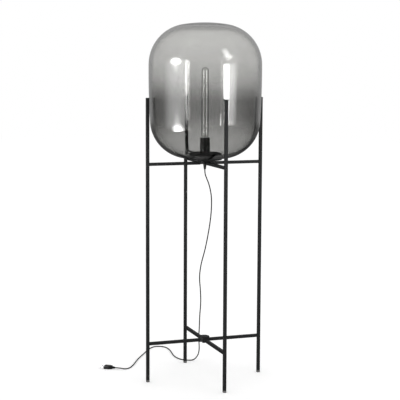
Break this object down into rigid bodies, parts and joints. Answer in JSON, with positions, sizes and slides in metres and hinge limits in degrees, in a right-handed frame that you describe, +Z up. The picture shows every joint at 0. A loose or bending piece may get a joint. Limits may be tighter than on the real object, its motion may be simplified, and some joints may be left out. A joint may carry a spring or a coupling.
{
  "type": "globe floor lamp",
  "caption": "Floor lamp with a large rounded smoked-glass shade on a slim frame of square-tube legs, round a tubular bulb, with a mains cord.",
  "frame": {"origin": "on the floor, under the lamp's vertical axis", "axes": "+Z up along the lamp's axis, +X and +Y along the arms; the front leg is at -Y and the left leg at -X"},
  "size_m": [0.6039, 0.7679, 1.4],
  "materials": {
    "frame_paint": "fine-textured anthracite powder coat",
    "foot_plastic": "clear grey moulded plastic",
    "black_steel": "blackened steel",
    "seat_rubber": "matt silicone rubber",
    "plated_steel": "zinc or nickel plated",
    "smoked_glass": "polished blown glass, grey smoke darkest below the middle",
    "holder_black": "satin black",
    "white_ceramic": "unglazed white",
    "contact_brass": "bright",
    "bulb_black_glass": "opaque black vitreous insulator",
    "contact_tin": "soldered tin",
    "bulb_clear_glass": "clear",
    "filament_metal": "dark drawn wire",
    "wire_blue": "insulation",
    "wire_brown": "insulation",
    "cord_black": "soft moulded plastic"
  },
  "bodies": {
    "root": {"leg_tube_left": "frame_paint", "leg_tube_front": "frame_paint", "leg_tube_right": "frame_paint", "leg_tube_back": "frame_paint", "leg_cap_left": "frame_paint", "leg_cap_front": "frame_paint", "leg_cap_right": "frame_paint", "leg_cap_back": "frame_paint", "upper_arm_left": "frame_paint", "upper_arm_front": "frame_paint", "upper_arm_right": "frame_paint", "upper_arm_back": "frame_paint", "lower_arm_left": "frame_paint", "lower_arm_front": "frame_paint", "lower_arm_right": "frame_paint", "lower_arm_back": "frame_paint", "upper_hub": "frame_paint", "lower_hub": "frame_paint", "shade_plate": "frame_paint", "holder_disc": "frame_paint", "spacer_sleeve": "frame_paint", "foot_left": "foot_plastic", "foot_front": "foot_plastic", "foot_right": "foot_plastic", "foot_back": "foot_plastic", "upper_hub_screws": "black_steel", "lower_hub_screws": "black_steel", "lower_hub_bolt": "black_steel", "lower_hub_washer": "black_steel", "shade_seat_ring": "seat_rubber", "threaded_tube": "plated_steel", "holder_nut": "plated_steel", "terminal_screws": "plated_steel", "holder_sleeve": "holder_black", "holder_base": "white_ceramic", "ceramic_insert": "white_ceramic", "screw_shell": "contact_brass", "centre_contact": "contact_brass", "plug_pins": "contact_brass", "neutral_wire": "wire_blue", "live_wire": "wire_brown", "cord": "cord_black", "cord_lead_in": "cord_black", "strain_relief": "cord_black", "plug_sleeve": "cord_black", "plug_body": "cord_black"},
    "shade": {"glass_shade": "smoked_glass"},
    "bulb": {"bulb_cap": "plated_steel", "bulb_insulator": "bulb_black_glass", "bulb_contact": "contact_tin", "bulb_envelope": "bulb_clear_glass", "bulb_stem": "bulb_clear_glass", "filament_leads": "filament_metal", "filament": "filament_metal"}
  },
  "joints": [
    {"name": "shade_lift", "type": "slide", "parent": "root", "child": "shade", "axis": [0, 0, 1], "range_m": [0, 0.36]},
    {"name": "bulb_screw", "type": "hinge", "parent": "root", "child": "bulb", "pos_m": [0, 0, 0.94], "axis": [0, 0, 1], "range_deg": [0, 1080]}
  ]
}
